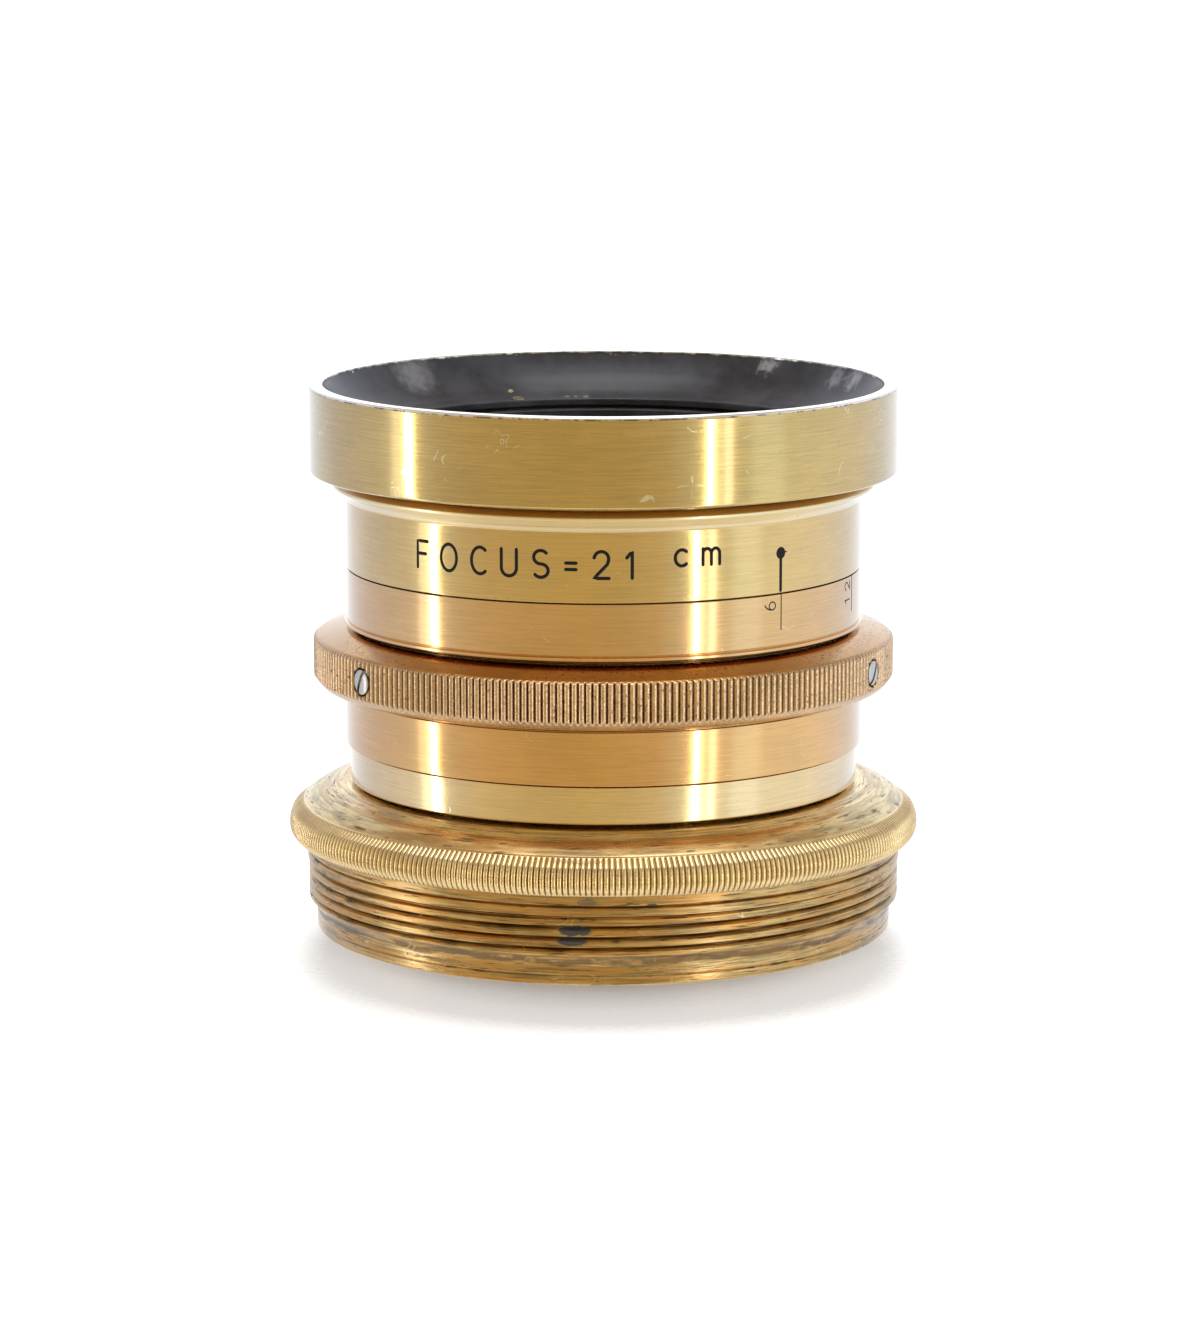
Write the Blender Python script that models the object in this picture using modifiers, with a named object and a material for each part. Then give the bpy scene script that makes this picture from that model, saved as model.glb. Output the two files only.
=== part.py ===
"""A brass portrait lens with a working iris.

The lens stands on its threaded rear end, with its optical axis along +Z.
The origin is at the centre of the rear face. Every piece is turned about
the axis. Profiles are lists of (radius, height) in millimetres.
"""
import bmesh
import bpy
from math import asin, atan2, cos, degrees, pi, radians, sin, sqrt
from mathutils import Matrix, Vector

MM = 0.001                    # profiles and sizes below are in millimetres
SIDES = 36                    # flats around a large turned piece
GLASS_SIDES = 28              # flats around a glass
GAP = 0.3                     # space left between pieces that touch on the real lens

# Outside sizes
HEIGHT = 47.85                # rear face to front rim
HOOD_RADIUS = 25.65
BAND_RADIUS = 22.5            # engraved band of the barrel, and the scale above it
GRIP_RADIUS = 25.43           # tips of the knurled grip ring
LOWER_RADIUS = 22.65
REAR_BAND_RADIUS = 22.25
ADAPTER_RADIUS = 27.7
THREAD_RADIUS = 25.95         # crests of the mounting thread
SKIRT_RADIUS = 25.3

# Inside sizes
TUBE_RADIUS = 20.85           # outside of the barrel tube under the turning group
BORE_RADIUS = 20.15           # inside of the barrel tube around the iris
REAR_BORE_RADIUS = 19.3       # inside of the barrel tube around the rear cell
SLEEVE_BORE = TUBE_RADIUS + GAP
SLEEVE_RADIUS = SLEEVE_BORE + 0.45
FRONT_GLASS_RADIUS = 18.3
REAR_GLASS_RADIUS = 17.5

# Iris
BLADES = 12
FULL_APERTURE = 13.65         # radius of the opening at exposure number 6
SMALL_APERTURE = 3.4          # radius of the opening at exposure number 96
PIVOT_CIRCLE = 18.3
BLADE_WIDTH = 3.6
BLADE_THICKNESS = 0.08
BLADE_SWEEP = 137.0           # degrees from the pivot pin to the cam pin
CAM_CIRCLE = 17.1             # radius of the cam pins at full aperture
BLADE_LEVEL = 19.5            # height of a blade at its pivot pin
BLADE_RISE = 2.8              # each blade climbs this much towards its cam pin
PIN_RADIUS = 0.4
SLOT_RADIUS = PIN_RADIUS + 0.25
FIRST_STEP = 30.4             # degrees of ring travel from exposure number 6 to 12
CAM_RING_LEVEL = 23.9
CAM_RING_THICKNESS = 1.8

# Grip screws
GRIP_LEVEL = 23.9
GRIP_SCREW_ANGLES = (-144.2, -24.2, 95.8)
DRIVE_SCREW = 2               # the one that reaches through the barrel to the cam ring
SLOT_TILTS = (28.0, -35.0, 12.0)
SCREW_HEAD = 1.2
SCREW_SHANK = 0.7
SCREW_DOG = 0.55


def blade_turn(aperture):
    """Degrees that a blade turns from full aperture to an opening of this radius."""
    return degrees(2 * asin((FULL_APERTURE - aperture) / (2 * PIVOT_CIRCLE)))


BLADE_TRAVEL = blade_turn(SMALL_APERTURE)
BLADE_RATIO = blade_turn(FULL_APERTURE / sqrt(2)) / FIRST_STEP
RING_TRAVEL = BLADE_TRAVEL / BLADE_RATIO


def clear_scene():
    for thing in list(bpy.data.objects):
        bpy.data.objects.remove(thing, do_unlink=True)


def new_collection(name):
    collection = bpy.data.collections.new(name)
    bpy.context.scene.collection.children.link(collection)
    return collection


clear_scene()
LENS = new_collection("brass_portrait_lens")
CUTTERS = new_collection("cutters")


def finish(name, colour, roughness, metallic, alpha=1.0):
    material = bpy.data.materials.new(name)
    material.use_nodes = True
    shader = material.node_tree.nodes["Principled BSDF"]
    shader.inputs["Base Color"].default_value = (*colour, 1.0)
    shader.inputs["Roughness"].default_value = roughness
    shader.inputs["Metallic"].default_value = metallic
    shader.inputs["Alpha"].default_value = alpha
    return material


BRASS_COLOUR = (0.62, 0.40, 0.14)
AGED_COLOUR = (0.30, 0.17, 0.07)
BLACK_COLOUR = (0.03, 0.03, 0.035)
STEEL_COLOUR = (0.45, 0.44, 0.42)
GLASS_COLOUR = (0.75, 0.80, 0.85)


def brass(name):
    return finish(name + "_brass", BRASS_COLOUR, 0.28, 1.0)


def aged_brass(name):
    return finish(name + "_aged_brass", AGED_COLOUR, 0.5, 0.9)


def blackened(name):
    return finish(name + "_black", BLACK_COLOUR, 0.6, 0.3)


def steel(name):
    return finish(name + "_steel", STEEL_COLOUR, 0.35, 1.0)


def glass(name):
    return finish(name + "_glass", GLASS_COLOUR, 0.05, 0.0, 0.4)


def add_object(name, mesh, material=None):
    thing = bpy.data.objects.new(name, mesh)
    LENS.objects.link(thing)
    if material:
        mesh.materials.append(material)
    return thing


def cutter(thing):
    """Moves an object to the cutters, where it only shapes others."""
    for collection in list(thing.users_collection):
        collection.objects.unlink(thing)
    CUTTERS.objects.link(thing)
    thing.hide_render = True
    thing.display_type = "WIRE"
    return thing


def boolean(target, tool, operation="DIFFERENCE"):
    step = target.modifiers.new(operation.lower(), "BOOLEAN")
    step.operation = operation
    step.object = tool
    return step


def turned(name, profile, material, sides=SIDES, closed=True):
    """Spins a profile of (radius, height) points about Z. It runs down its outer side."""
    mesh = bpy.data.meshes.new(name)
    points = [(radius * MM, 0.0, height * MM) for radius, height in profile]
    edges = [(index, index + 1) for index in range(len(points) - 1)]
    if closed:
        edges.append((len(points) - 1, 0))
    mesh.from_pydata(points, edges, [])
    thing = add_object(name, mesh, material)
    screw = thing.modifiers.new("turn", "SCREW")
    screw.axis = "Z"
    screw.angle = 2 * pi
    screw.steps = sides
    screw.render_steps = sides
    screw.use_merge_vertices = True
    screw.merge_threshold = 0.00001
    return thing


def tube(name, inner, outer, bottom, top, material, sides=SIDES, chamfer=0.0):
    profile = [(inner, top), (outer - chamfer, top)]
    if chamfer:
        profile.append((outer, top - chamfer))
        profile.append((outer, bottom + chamfer))
    profile += [(outer - chamfer, bottom), (inner, bottom)]
    return turned(name, profile, material, sides)


def evaluated_mesh(thing):
    """The finished mesh of an object with its modifiers, welded."""
    bpy.context.view_layer.update()
    graph = bpy.context.evaluated_depsgraph_get()
    mesh = bpy.data.meshes.new_from_object(thing.evaluated_get(graph))
    shape = bmesh.new()
    shape.from_mesh(mesh)
    bmesh.ops.remove_doubles(shape, verts=shape.verts, dist=0.000001)
    bmesh.ops.recalc_face_normals(shape, faces=shape.faces)
    shape.to_mesh(mesh)
    shape.free()
    return mesh


def smooth(thing):
    """Shades the round faces smooth and keeps the corners crisp."""
    thing.data.shade_smooth()
    thing.data.set_sharp_from_angle(angle=radians(35))


def circle_points(radius, sides, centre=(0.0, 0.0)):
    angles = [2 * pi * index / sides for index in range(sides)]
    return [(centre[0] + radius * cos(a), centre[1] + radius * sin(a)) for a in angles]


def flat_plate(name, outlines, bottom, top, material):
    """A flat plate from closed outlines: the first is its edge, the others are holes."""
    curve = bpy.data.curves.new(name, "CURVE")
    curve.dimensions = "2D"
    curve.fill_mode = "BOTH"
    curve.extrude = (top - bottom) / 2 * MM
    for outline in outlines:
        spline = curve.splines.new("POLY")
        spline.points.add(len(outline) - 1)
        for point, (x, y) in zip(spline.points, outline):
            point.co = (x * MM, y * MM, 0.0, 1.0)
        spline.use_cyclic_u = True
    source = bpy.data.objects.new(name + "_outline", curve)
    CUTTERS.objects.link(source)
    mesh = evaluated_mesh(source)
    bpy.data.objects.remove(source, do_unlink=True)
    mesh.transform(Matrix.Translation((0, 0, (top + bottom) / 2 * MM)))
    mesh.materials.clear()
    return add_object(name, mesh, material)


def arc_bar(name, inner, outer, bottom, top, start, sweep, rise=0.0, steps=12):
    """A rectangle swept round the axis through an angle, climbing by rise as it goes."""
    shape = bmesh.new()
    corners = [(inner, bottom), (outer, bottom), (outer, top), (inner, top)]
    verts = [shape.verts.new((radius * MM, 0.0, height * MM)) for radius, height in corners]
    face = shape.faces.new(verts)
    lift = Vector((0.0, 0.0, rise * MM / steps))
    bmesh.ops.spin(shape, geom=[face, *face.edges, *face.verts], cent=(0, 0, 0), axis=(0, 0, 1),
                   dvec=lift, angle=radians(sweep), steps=steps)
    bmesh.ops.recalc_face_normals(shape, faces=shape.faces)
    bmesh.ops.rotate(shape, verts=shape.verts, cent=(0, 0, 0),
                     matrix=Matrix.Rotation(radians(start), 3, "Z"))
    mesh = bpy.data.meshes.new(name)
    shape.to_mesh(mesh)
    shape.free()
    return add_object(name, mesh)


def rod(name, radius, start, end, sides=10):
    """A round bar between two points, given in millimetres."""
    line = (Vector(end) - Vector(start)) * MM
    shape = bmesh.new()
    bmesh.ops.create_cone(shape, cap_ends=True, segments=sides, radius1=radius * MM,
                          radius2=radius * MM, depth=line.length)
    mesh = bpy.data.meshes.new(name)
    shape.to_mesh(mesh)
    shape.free()
    mesh.transform(line.to_track_quat("Z", "Y").to_matrix().to_4x4())
    mesh.transform(Matrix.Translation((Vector(start) + Vector(end)) * MM / 2))
    return add_object(name, mesh)


def block(name, size, location, angle=0.0):
    """A box of this size, in millimetres, turned about Z."""
    shape = bmesh.new()
    bmesh.ops.create_cube(shape, size=1.0)
    mesh = bpy.data.meshes.new(name)
    shape.to_mesh(mesh)
    shape.free()
    mesh.transform(Matrix.Diagonal((*(side * MM for side in size), 1.0)))
    mesh.transform(Matrix.Translation(Vector(location) * MM))
    mesh.transform(Matrix.Rotation(radians(angle), 4, "Z"))
    return add_object(name, mesh)


def fixed_barrel():
    """The tube that carries everything: engraved band at the front, thin tube behind."""
    seat = 35.9
    profile = [
        (21.7, 39.7), (22.9, 39.7), (23.7, 39.15), (23.65, 38.9), (22.9, 38.3),
        (BAND_RADIUS, 37.92),
        (BAND_RADIUS, 31.93), (TUBE_RADIUS, 31.93), (TUBE_RADIUS, 8.5),
        (REAR_BORE_RADIUS, 8.5), (REAR_BORE_RADIUS, 16.9), (16.5, 16.9), (16.5, 18.0),
        (BORE_RADIUS, 18.0), (BORE_RADIUS, seat), (21.7, seat),
    ]
    barrel = turned("main_barrel", profile, brass("barrel"))
    margin = 4.0
    height = SCREW_DOG + 0.35
    window = arc_bar("drive_window", BORE_RADIUS - 1, TUBE_RADIUS + 0.2, GRIP_LEVEL - height,
                     GRIP_LEVEL + height, GRIP_SCREW_ANGLES[DRIVE_SCREW] + margin,
                     -(RING_TRAVEL + 2 * margin), steps=9)
    boolean(barrel, cutter(window))


def hood():
    """Polished outside, blackened funnel inside, and a spigot that enters the barrel."""
    profile = [
        (24.45, HEIGHT), (25.3, HEIGHT), (HOOD_RADIUS, 47.5), (HOOD_RADIUS, 40.45),
        (25.4, 40.22), (23.5, 40.0), (21.4, 40.0), (21.4, 36.3),
        (20.45, 36.3), (20.45, 43.4), (19.6, 43.4), (19.6, 44.0), (21.4, 44.5),
        (23.1, 45.7), (24.0, 46.8),
    ]
    turned("hood_ring", profile, brass("hood"))


def rear_fittings():
    """The pale band behind the turning group, and the aged adapter with its thread."""
    tube("rear_band", SLEEVE_BORE, REAR_BAND_RADIUS, 13.1, 16.2, brass("rear_band"),
         chamfer=0.15)
    profile = [
        (SLEEVE_BORE, 12.8), (23.2, 12.7), (25.1, 12.1), (26.6, 10.98), (27.35, 10.35),
        (ADAPTER_RADIUS, 9.5), (27.5, 8.5), (26.9, 7.88), (26.08, 7.88), (26.08, 6.95),
        (25.6, 6.82), (THREAD_RADIUS, 6.65), (THREAD_RADIUS, 2.8), (SKIRT_RADIUS, 1.63),
        (SKIRT_RADIUS, 0.3), (25.0, 0.0), (23.7, 0.0), (23.4, 0.3), (23.4, 8.8),
        (SLEEVE_BORE, 8.8),
    ]
    turned("adapter_ring", profile, aged_brass("adapter"))


def turning_group():
    """The scale sleeve, the grip ring and the lower sleeve, held by three screws."""
    scale = [
        (SLEEVE_BORE, 31.6), (BAND_RADIUS, 31.6), (BAND_RADIUS, 27.45), (22.75, 27.35),
        (22.75, 27.05), (SLEEVE_RADIUS, 27.0), (SLEEVE_RADIUS, 16.7), (SLEEVE_BORE, 16.7),
    ]
    sleeve = turned("scale_sleeve", scale, brass("scale_sleeve"))
    inside = SLEEVE_RADIUS + GAP
    grip = [
        (inside, 26.7), (22.6, 26.6), (25.2, 25.75), (GRIP_RADIUS, 25.5),
        (GRIP_RADIUS, 22.5), (24.8, 21.6), (22.9, 21.3), (inside, 21.3),
    ]
    ring = turned("knurled_ring", grip, brass("knurled_ring"))
    lower = [
        (inside, 21.0), (LOWER_RADIUS, 21.0), (LOWER_RADIUS, 16.85),
        (LOWER_RADIUS - 0.2, 16.5), (inside, 16.5),
    ]
    turned("lower_sleeve", lower, brass("lower_sleeve"))
    for number, angle in enumerate(GRIP_SCREW_ANGLES):
        hole = screw_hole(f"screw_hole_{number + 1}", angle)
        boolean(sleeve, hole)
        boolean(ring, hole)
        grip_screw(number, angle)


def lie_outward(thing, angle):
    """Turns a piece made along Z so that it points out from the axis at an angle."""
    thing.location = (0.0, 0.0, GRIP_LEVEL * MM)
    thing.rotation_euler = (0.0, pi / 2, radians(angle))


def screw_hole(name, angle):
    """A clearance hole with a counterbore for the head."""
    shank = SCREW_SHANK + GAP
    head = SCREW_HEAD + GAP
    profile = [(0, 26.2), (head, 26.2), (head, 24.35), (shank, 24.35), (shank, 20.95), (0, 20.95)]
    hole = turned(name, profile, None, sides=12, closed=False)
    lie_outward(hole, angle)
    return cutter(hole)


def grip_screw(number, angle):
    """A slotted screw. The drive screw ends in a dog that enters the cam ring."""
    profile = [(0, 25.62), (0.7, 25.58), (SCREW_HEAD, 25.4), (SCREW_HEAD, 24.65),
               (SCREW_SHANK, 24.65)]
    if number == DRIVE_SCREW:
        profile += [(SCREW_SHANK, 21.3), (SCREW_DOG, 21.2), (SCREW_DOG, 18.45), (0, 18.45)]
    else:
        profile += [(SCREW_SHANK, 21.35), (0, 21.35)]
    screw = turned(f"grip_screw_{number + 1}", profile, steel(f"screw_{number + 1}"), sides=12,
                   closed=False)
    lie_outward(screw, angle)
    slot = block(f"screw_slot_{number + 1}", (0.36, 4.0, 1.0), (0.0, 0.0, 25.65),
                 SLOT_TILTS[number])
    lie_outward(slot, angle)
    boolean(screw, cutter(slot))


def front_lens_group():
    """The front cell with its two glasses, spacer and retaining ring."""
    inner = FRONT_GLASS_RADIUS + GAP
    outer = BORE_RADIUS - GAP
    profile = [(inner, 43.1), (outer, 43.1), (outer, 29.5), (15.5, 29.5), (15.5, 31.0),
               (inner, 31.0)]
    turned("front_cell", profile, blackened("front_cell"))
    tube("front_retaining_ring", 17.3, FRONT_GLASS_RADIUS, 39.1, 40.3, blackened("front_ring"),
         GLASS_SIDES)
    lens_element("front_outer_lens", FRONT_GLASS_RADIUS, 41.6, 35.1, 60.0, -90.0)
    tube("front_spacer", 17.3, FRONT_GLASS_RADIUS, 34.9, 36.6, blackened("front_spacer"),
         GLASS_SIDES)
    lens_element("front_inner_lens", FRONT_GLASS_RADIUS, 33.67, 32.23, -180.0, 180.0)


def rear_lens_group():
    """The rear cell screws into the barrel from behind and carries the rear pair."""
    inner = REAR_GLASS_RADIUS + GAP
    outer = REAR_BORE_RADIUS - GAP
    profile = [(15.3, 16.6), (outer, 16.6), (outer, 8.2), (20.5, 8.2), (20.5, 5.8), (inner, 5.8),
               (inner, 15.4), (15.3, 15.4)]
    turned("rear_cell", profile, brass("rear_cell"))
    lens_element("rear_inner_lens", REAR_GLASS_RADIUS, 14.2, 12.8, -180.0, 180.0)
    tube("rear_spacer", 16.3, REAR_GLASS_RADIUS, 9.9, 11.6, blackened("rear_spacer"),
         GLASS_SIDES)
    lens_element("rear_outer_lens", REAR_GLASS_RADIUS, 11.3, 5.1, 90.0, -60.0)
    tube("rear_retaining_ring", 16.3, REAR_GLASS_RADIUS, 6.2, 7.35, blackened("rear_ring"),
         GLASS_SIDES)


def lens_element(name, radius, top, bottom, top_curve, bottom_curve):
    """One glass. A positive top curve bulges up and a negative bottom curve bulges down."""
    def surface(vertex, curve):
        points = []
        for step in range(5):
            r = radius * step / 4
            sag = abs(curve) - sqrt(curve * curve - r * r)
            points.append((r, vertex - sag if curve > 0 else vertex + sag))
        return points

    upper = surface(top, top_curve)
    lower = surface(bottom, bottom_curve)
    turned(name, upper + lower[::-1], glass(name), GLASS_SIDES, closed=False)


def cam_pin_path(steps):
    """Where a cam pin lies in the turning cam ring as the iris closes, for the first blade."""
    pivot = Vector((PIVOT_CIRCLE, 0.0))
    rest = Matrix.Rotation(radians(-BLADE_SWEEP), 2) @ Vector((CAM_CIRCLE, 0.0))
    path = []
    for step in range(steps + 1):
        ring = RING_TRAVEL * step / steps
        swung = pivot + Matrix.Rotation(radians(-ring * BLADE_RATIO), 2) @ (rest - pivot)
        path.append(Matrix.Rotation(radians(ring), 2) @ swung)
    return path


def slot_outline(angle, steps=8, end_points=3):
    """The closed outline of one cam slot, the pin's path widened by the slot's radius."""
    path = cam_pin_path(steps)
    along = [(path[min(i + 1, steps)] - path[max(i - 1, 0)]).normalized() for i in range(steps + 1)]

    def clear(point):
        """True unless the point lies inside the bend of the slot."""
        return min((point - centre).length for centre in path) > 0.97 * SLOT_RADIUS

    left = [p + SLOT_RADIUS * Vector((-t.y, t.x)) for p, t in zip(path, along)]
    right = [p - SLOT_RADIUS * Vector((-t.y, t.x)) for p, t in zip(path, along)]
    left = [point for point in left if clear(point)]
    right = [point for point in right if clear(point)]

    def cap(centre, first):
        start = atan2(first.y - centre.y, first.x - centre.x)
        turns = [start - pi * (k + 1) / (end_points + 1) for k in range(end_points)]
        return [centre + SLOT_RADIUS * Vector((cos(a), sin(a))) for a in turns]

    outline = left + cap(path[-1], left[-1]) + right[::-1] + cap(path[0], right[0])
    turn = Matrix.Rotation(radians(angle), 2)
    return [tuple(turn @ point) for point in outline]


def iris_plates():
    """The fixed plate with the pivot holes, the slotted cam ring and the ring above it."""
    angles = [360.0 * number / BLADES for number in range(BLADES)]
    outer = BORE_RADIUS - GAP
    inner = FULL_APERTURE + 0.2
    holes = [circle_points(PIN_RADIUS + 0.25, 8, (PIVOT_CIRCLE * cos(radians(a)),
                                                 PIVOT_CIRCLE * sin(radians(a)))) for a in angles]
    rims = [circle_points(outer, SIDES), circle_points(inner, SIDES)]
    flat_plate("iris_base_plate", [*rims, *holes], 18.3, 19.1, blackened("iris_base_plate"))
    slots = [slot_outline(angle) for angle in angles]
    half = CAM_RING_THICKNESS / 2
    ring = flat_plate("iris_cam_ring", [*rims, *slots], CAM_RING_LEVEL - half,
                      CAM_RING_LEVEL + half, brass("iris_cam_ring"))
    notch = block("drive_notch", (2.4, 2 * (SCREW_DOG + GAP), 4.0), (19.35, 0.0, CAM_RING_LEVEL),
                  GRIP_SCREW_ANGLES[DRIVE_SCREW])
    boolean(ring, cutter(notch))
    tube("iris_retaining_ring", 14.6, outer, 25.1, 26.3, blackened("iris_retaining_ring"))


def blade_mesh():
    """One blade with its pins. Its pivot pin stands at the mesh's origin."""
    half = BLADE_THICKNESS / 2
    strip = arc_bar("blade_strip", FULL_APERTURE, FULL_APERTURE + BLADE_WIDTH, BLADE_LEVEL - half,
                    BLADE_LEVEL + half, 0.0, -BLADE_SWEEP, BLADE_RISE, steps=11)
    end = Matrix.Rotation(radians(-BLADE_SWEEP), 2) @ Vector((CAM_CIRCLE, 0.0))
    inset = (CAM_CIRCLE - 0.9) / CAM_CIRCLE
    top = BLADE_LEVEL + BLADE_RISE
    ear = BLADE_THICKNESS * 0.75
    extras = [
        rod("pivot_ear", 1.45, (17.8, 0, BLADE_LEVEL - ear), (17.8, 0, BLADE_LEVEL + ear)),
        rod("pivot_pin", PIN_RADIUS, (PIVOT_CIRCLE, 0, 18.5), (PIVOT_CIRCLE, 0, BLADE_LEVEL), 8),
        rod("cam_ear", 1.75, (*(end * inset), top - ear), (*(end * inset), top + ear)),
        rod("cam_pin", PIN_RADIUS, (*end, top), (*end, CAM_RING_LEVEL + 0.5), 8),
    ]
    for extra in extras:
        boolean(strip, extra, "UNION")
    mesh = evaluated_mesh(strip)
    for extra in (strip, *extras):
        bpy.data.objects.remove(extra, do_unlink=True)
    mesh.transform(Matrix.Translation((-PIVOT_CIRCLE * MM, 0.0, 0.0)))
    return mesh


def iris_blades():
    """Twelve alike blades, each with its origin on its pivot."""
    mesh = blade_mesh()
    mesh.materials.clear()
    mesh.materials.append(blackened("iris_blade"))
    for number in range(BLADES):
        angle = 2 * pi * number / BLADES
        blade = bpy.data.objects.new(f"iris_blade_{number + 1:02d}", mesh)
        LENS.objects.link(blade)
        blade.location = (PIVOT_CIRCLE * MM * cos(angle), PIVOT_CIRCLE * MM * sin(angle), 0.0)
        blade.rotation_euler = (0.0, 0.0, angle)


fixed_barrel()
hood()
rear_fittings()
turning_group()
front_lens_group()
rear_lens_group()
iris_plates()
iris_blades()
for piece in LENS.objects:
    smooth(piece)
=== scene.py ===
from math import asin, degrees, pi, radians, sqrt

import bmesh
import bpy
import numpy as np
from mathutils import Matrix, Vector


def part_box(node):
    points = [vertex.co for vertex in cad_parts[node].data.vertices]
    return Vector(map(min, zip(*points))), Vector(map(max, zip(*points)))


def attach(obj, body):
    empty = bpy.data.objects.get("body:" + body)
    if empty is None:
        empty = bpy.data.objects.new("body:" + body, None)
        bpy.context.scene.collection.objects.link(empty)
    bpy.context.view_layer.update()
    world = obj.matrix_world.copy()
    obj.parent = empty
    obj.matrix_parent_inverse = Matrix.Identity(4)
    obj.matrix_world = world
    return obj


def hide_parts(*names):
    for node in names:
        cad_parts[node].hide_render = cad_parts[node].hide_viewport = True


# A brass portrait lens, standing on its threaded end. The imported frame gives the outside
# sizes, and the smaller details are set below, in millimetres and degrees.

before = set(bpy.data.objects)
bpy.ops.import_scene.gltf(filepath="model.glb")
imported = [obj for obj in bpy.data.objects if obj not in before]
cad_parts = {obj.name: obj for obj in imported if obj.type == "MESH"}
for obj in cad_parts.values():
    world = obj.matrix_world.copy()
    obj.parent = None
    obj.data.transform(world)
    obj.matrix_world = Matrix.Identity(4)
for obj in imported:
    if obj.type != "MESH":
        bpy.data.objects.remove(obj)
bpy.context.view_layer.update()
mm = 0.001


def heights(node):
    low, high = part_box(node)
    return low[2] / mm, high[2] / mm


def reach(node):
    low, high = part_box(node)
    return high[0] / mm


def roundedOutline(corners, steps=7):
    # Each corner (radius, height, rounding) becomes a parabola from one side of the
    # corner to the other: (1-t)^2 A + 2t(1-t) C + t^2 B, where A and B lie on the two
    # edges, one rounding away from the corner C.
    spots = np.array([corner[:2] for corner in corners], float)
    cut = np.array([corner[2] if len(corner) > 2 else 0.0 for corner in corners])
    back = np.roll(spots, 1, axis=0) - spots
    ahead = np.roll(spots, -1, axis=0) - spots
    backLength = np.linalg.norm(back, axis=1)
    aheadLength = np.linalg.norm(ahead, axis=1)
    first = spots + back * (np.minimum(cut / backLength, 0.48))[:, None]
    last = spots + ahead * (np.minimum(cut / aheadLength, 0.48))[:, None]
    t = np.linspace(0, 1, steps)[None, :, None]
    curve = (1 - t) ** 2 * first[:, None] + 2 * t * (1 - t) * spots[:, None] + t * t * last[:, None]
    points = curve.reshape(-1, 2)
    keep = np.linalg.norm(points - np.roll(points, 1, axis=0), axis=1) > 1e-5
    return points[keep]


def finerOutline(points, longest, low=-1e9, high=1e9):
    # Cuts the edges between two heights into pieces no longer than a given length.
    ends = np.roll(points, -1, axis=0)
    length = np.linalg.norm(ends - points, axis=1)
    middle = (points[:, 1] + ends[:, 1]) / 2
    wanted = np.where((middle > low) & (middle < high), np.ceil(length / longest), 1).astype(int)
    wanted = np.maximum(wanted, 1)
    start = np.repeat(np.arange(len(points)), wanted)
    offset = np.arange(wanted.sum()) - np.repeat(np.cumsum(wanted) - wanted, wanted)
    share = (offset / wanted[start])[:, None]
    return points[start] * (1 - share) + ends[start] * share


def gridFaces(rows, columns, closeRows=True, closeColumns=True):
    # Four neighbours of a grid make one face; a closed direction wraps round.
    down = np.arange(rows if closeRows else rows - 1)
    along = np.arange(columns if closeColumns else columns - 1)
    i, j = np.meshgrid(down, along, indexing="ij")
    nextI, nextJ = (i + 1) % rows, (j + 1) % columns
    quads = np.stack([i * columns + j, nextI * columns + j, nextI * columns + nextJ,
                      i * columns + nextJ], axis=-1)
    return quads.reshape(-1, 4)


def makeMesh(name, points, faces, material, sharp=32.0, merge=False):
    mesh = bpy.data.meshes.new(name)
    mesh.vertices.add(len(points))
    mesh.vertices.foreach_set("co", np.asarray(points, np.float32).ravel())
    mesh.loops.add(faces.size)
    mesh.loops.foreach_set("vertex_index", faces.ravel().astype(np.int32))
    mesh.polygons.add(len(faces))
    mesh.polygons.foreach_set("loop_start", np.arange(len(faces), dtype=np.int32) * faces.shape[1])
    mesh.update(calc_edges=True)
    if merge:
        shape = bmesh.new()
        shape.from_mesh(mesh)
        bmesh.ops.remove_doubles(shape, verts=shape.verts, dist=2e-7)
        bmesh.ops.recalc_face_normals(shape, faces=shape.faces)
        shape.to_mesh(mesh)
        shape.free()
    mesh.validate()
    mesh.shade_smooth()
    mesh.set_sharp_from_angle(angle=radians(sharp))
    thing = bpy.data.objects.new(name, mesh)
    bpy.context.scene.collection.objects.link(thing)
    mesh.materials.append(material)
    return thing


def turnedPiece(name, outline, material, columns=256, shape=None, sharp=32.0, poles=False):
    # A profile (radius, height) carried round the axis: x = r cos a, y = r sin a, z = h.
    # The shape function may change r and h over the whole grid of rows and angles.
    angle = np.arange(columns) * (2 * pi / columns)
    radius = np.repeat(outline[:, :1], columns, axis=1)
    height = np.repeat(outline[:, 1:2], columns, axis=1)
    if shape is not None:
        radius, height = shape(radius, height, angle[None, :])
    points = np.stack([radius * np.cos(angle), radius * np.sin(angle), height], axis=-1)
    faces = gridFaces(len(outline), columns, closeRows=not poles)
    return makeMesh(name, points.reshape(-1, 3) * mm, faces, material, sharp, merge=poles)


def place(piece, body, slotName, *nodes):
    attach(piece, body)
    if nodes:
        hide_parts(*nodes)
    return piece


class Wire:
    # Wraps a number socket, so that maths on it reads as plain expressions.
    def __init__(self, graph, socket):
        self.graph = graph
        self.socket = socket

    def join(self, operation, other, swapped=False):
        pair = (other, self) if swapped else (self, other)
        return self.graph.math(operation, *pair)

    def __add__(self, other):
        return self.join("ADD", other)

    def __sub__(self, other):
        return self.join("SUBTRACT", other)

    def __mul__(self, other):
        return self.join("MULTIPLY", other)

    def __truediv__(self, other):
        return self.join("DIVIDE", other)

    def __rsub__(self, other):
        return self.join("SUBTRACT", other, swapped=True)

    __radd__ = __add__
    __rmul__ = __mul__


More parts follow.
